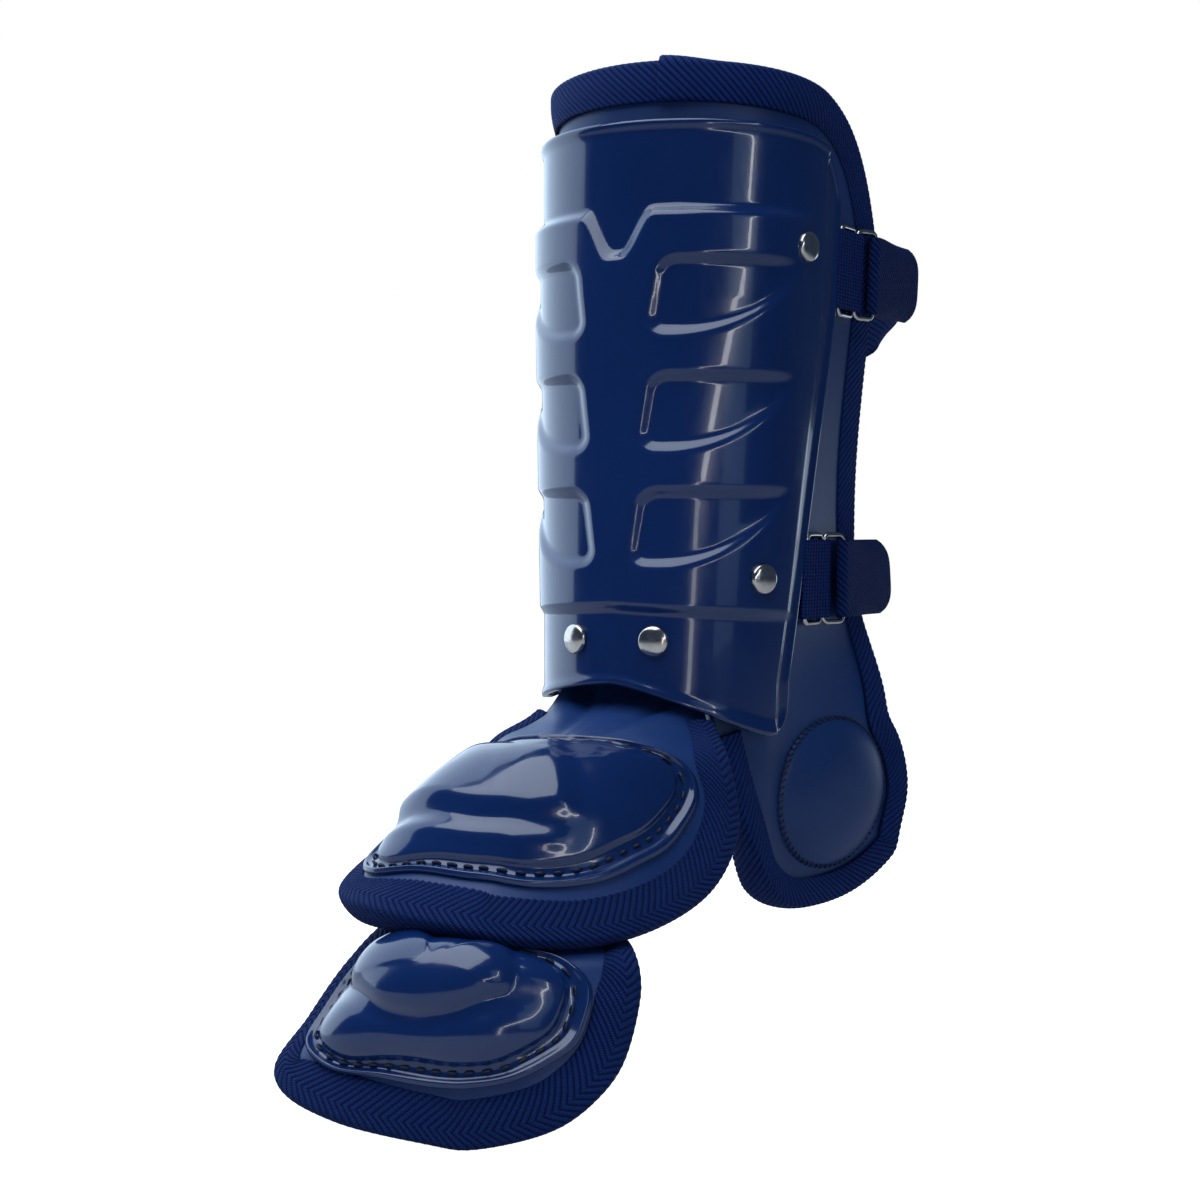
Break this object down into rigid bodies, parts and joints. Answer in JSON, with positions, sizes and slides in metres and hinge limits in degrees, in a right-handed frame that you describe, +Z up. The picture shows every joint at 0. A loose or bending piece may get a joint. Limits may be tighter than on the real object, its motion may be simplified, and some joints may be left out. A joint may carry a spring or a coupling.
{
  "type": "batter leg guard",
  "caption": "Soft padded shin guard with a moulded front shell, an ankle wing with a domed cup, straps through wire rings, and padded instep and toe guards sewn on below.",
  "frame": {"origin": "on the axis of the lower leg, 200 mm above the lowest edge of the toe guard as worn", "axes": "+Z up along the shin, -Y to the front where the shell and the toe are, +X to the wearer's left side, the side of the ankle wing"},
  "size_m": [0.134, 0.3103, 0.3943],
  "materials": {
    "pad_facing": "satin, smooth navy coated leather over foam",
    "binding_tape": "matte, coarse twill tape",
    "moulded_shell": "gloss, moulded navy",
    "ankle_cup": "satin, navy coated leather drawn over a moulded dome",
    "webbing": "matte, woven elastic and webbing",
    "nickel": "polished nickel plate"
  },
  "bodies": {
    "root": {"shin_pad": "pad_facing", "shin_binding": "binding_tape", "shin_shell": "moulded_shell", "rivet_front_left": "nickel", "rivet_front_right": "nickel", "rivet_side_left": "nickel", "rivet_side_right": "nickel", "rivet_top_left": "nickel", "rivet_top_right": "nickel", "ankle_cup": "ankle_cup", "instep_pad": "pad_facing", "instep_binding": "binding_tape", "instep_shell": "moulded_shell", "toe_pad": "pad_facing", "toe_binding": "binding_tape", "toe_shell": "moulded_shell", "upper_keeper": "webbing", "lower_keeper": "webbing", "upper_ring_inner": "nickel", "upper_ring_outer": "nickel", "lower_ring_inner": "nickel", "lower_ring_outer": "nickel", "upper_strap": "webbing", "lower_strap": "webbing"}
  },
  "joints": []
}
